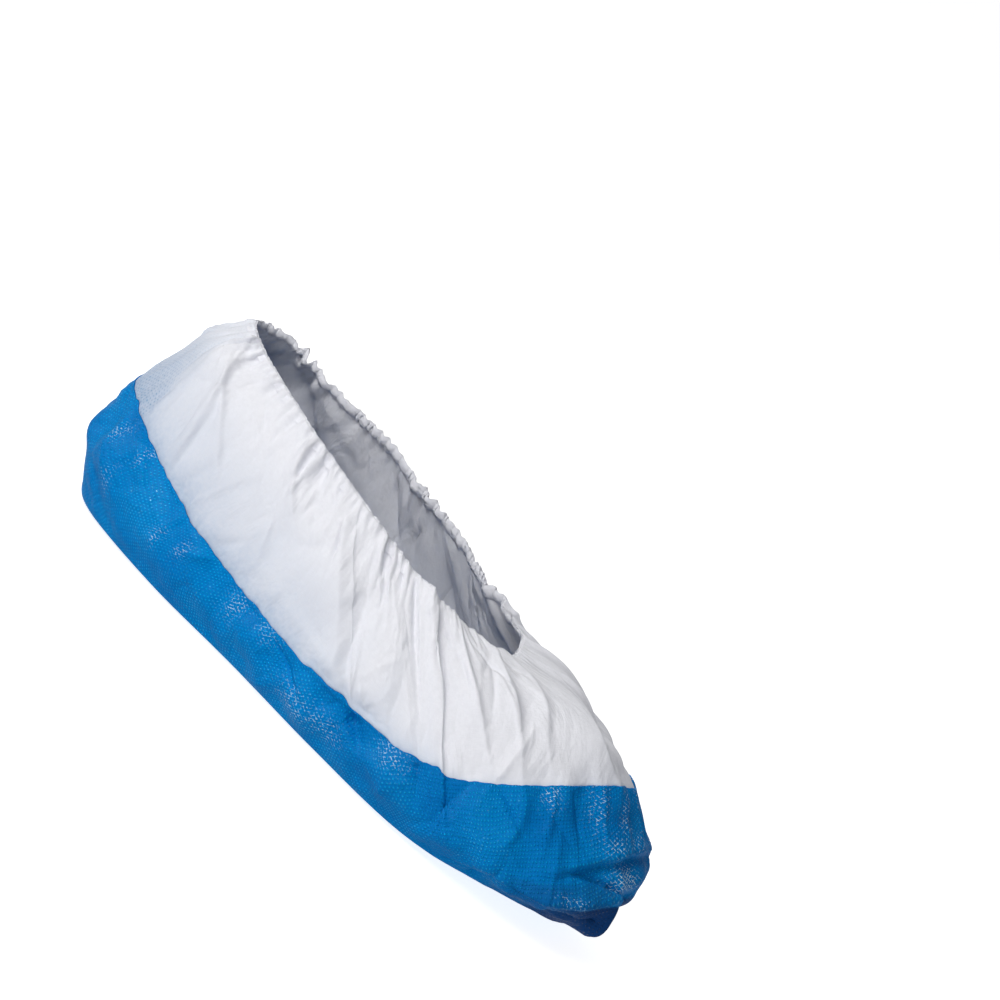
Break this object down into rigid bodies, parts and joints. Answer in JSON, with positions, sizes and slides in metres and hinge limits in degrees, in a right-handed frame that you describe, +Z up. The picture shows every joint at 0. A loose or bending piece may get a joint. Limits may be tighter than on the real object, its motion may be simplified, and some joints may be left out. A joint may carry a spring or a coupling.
{
  "type": "disposable shoe cover",
  "caption": "Disposable overshoe in its worn shape: gathered white nonwoven upper with an elastic ankle hem over an embossed blue film sole cover.",
  "frame": {"origin": "on the inside of the sole under the ankle, where the wearer's foot sits", "axes": "+X to the toe, +Y to the inner side of the foot, +Z up from the sole"},
  "size_m": [0.3152, 0.1091, 0.1077],
  "materials": {
    "nonwoven": "matte white spunbond nonwoven polypropylene",
    "film": "blue polyethylene film with a fine diamond emboss, half gloss",
    "hem": "matte white nonwoven gathered over elastic"
  },
  "bodies": {
    "root": {"upper": "nonwoven", "sole_cover": "film", "elastic_hem": "hem"}
  },
  "joints": []
}
